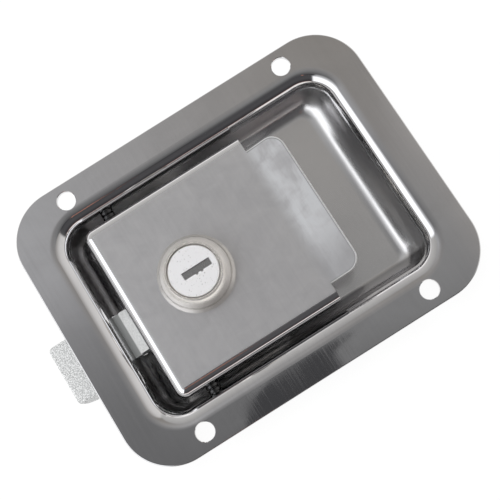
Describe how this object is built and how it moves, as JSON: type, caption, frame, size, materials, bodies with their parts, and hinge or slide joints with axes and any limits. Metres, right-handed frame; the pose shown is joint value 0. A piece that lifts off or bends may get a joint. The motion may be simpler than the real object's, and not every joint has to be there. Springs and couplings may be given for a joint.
{
  "type": "tool box lock",
  "caption": "Flush paddle latch with a pressed pan, a hinged finger paddle, a sprung bevelled bolt and a turning key cylinder.",
  "frame": {"origin": "middle of the flange's back face, which lies on the panel, at the middle of the four screw holes", "axes": "+Z out of the panel towards the user; +X along the flange's long side, away from the bolt; +Y across"},
  "size_m": [0.1278, 0.092, 0.0309],
  "materials": {
    "pan_steel": "polished stainless steel",
    "paddle_steel": "finely brushed stainless steel",
    "zinc_plate": "bright zinc plate",
    "bright_steel": "bright drawn steel",
    "dark_steel": "blackened drawn steel",
    "spring_wire": "drawn spring wire",
    "cast_zinc": "fine sandy cast zinc",
    "collar_nickel": "warm satin nickel",
    "face_nickel": "pale satin nickel",
    "wafer_brass": "stamped brass"
  },
  "bodies": {
    "frame": {"pan": "pan_steel", "hinge_pin": "dark_steel", "hinge_washer_low_1": "dark_steel", "hinge_washer_low_2": "dark_steel", "hinge_washer_high_1": "dark_steel", "hinge_washer_high_2": "dark_steel", "bolt_spring": "spring_wire", "spring_bracket": "zinc_plate", "bracket_rivets": "bright_steel"},
    "paddle": {"paddle": "paddle_steel", "pull_lever": "zinc_plate", "return_spring": "spring_wire", "lock_body": "collar_nickel", "lock_washer": "zinc_plate", "lock_nut": "zinc_plate"},
    "bolt": {"bolt": "cast_zinc", "spring_rod": "bright_steel", "rod_clip": "spring_wire"},
    "key_plug": {"lock_plug": "face_nickel", "cam": "zinc_plate", "star_washer": "bright_steel", "cam_screw": "zinc_plate"},
    "wafers": {"wafer_1": "wafer_brass", "wafer_2": "wafer_brass", "wafer_3": "wafer_brass", "wafer_4": "wafer_brass", "wafer_5": "wafer_brass"},
    "shutter": {"keyway_shutter": "bright_steel"}
  },
  "joints": [
    {"name": "paddle_swing", "type": "hinge", "parent": "frame", "child": "paddle", "pos_m": [-0.0302, 0, -0.003], "axis": [0, -1, 0], "range_deg": [0, 42], "stiffness_Nm_per_rad": 0.1, "springref_deg": -34.38},
    {"name": "bolt_slide", "type": "slide", "parent": "frame", "child": "bolt", "axis": [1, 0, 0], "range_m": [0, 0.0081], "deforming": ["bolt_spring"]},
    {"name": "key_turn", "type": "hinge", "parent": "paddle", "child": "key_plug", "pos_m": [-0.0166, 0, 0], "axis": [0, 0, -1], "range_deg": [0, 90]},
    {"name": "wafer_lift", "type": "slide", "parent": "key_plug", "child": "wafers", "axis": [1, 0, 0], "range_m": [0, 0.0008]},
    {"name": "shutter_swing", "type": "hinge", "parent": "key_plug", "child": "shutter", "pos_m": [-0.0155, 0.0011, 0.00735], "axis": [1, 0, 0], "range_deg": [0, 75], "stiffness_Nm_per_rad": 0.0001, "springref_deg": -17.19}
  ],
  "couplings": [
    {"joint": "bolt_slide", "follows": "paddle_swing", "m_per_rad": 0.0109}
  ]
}
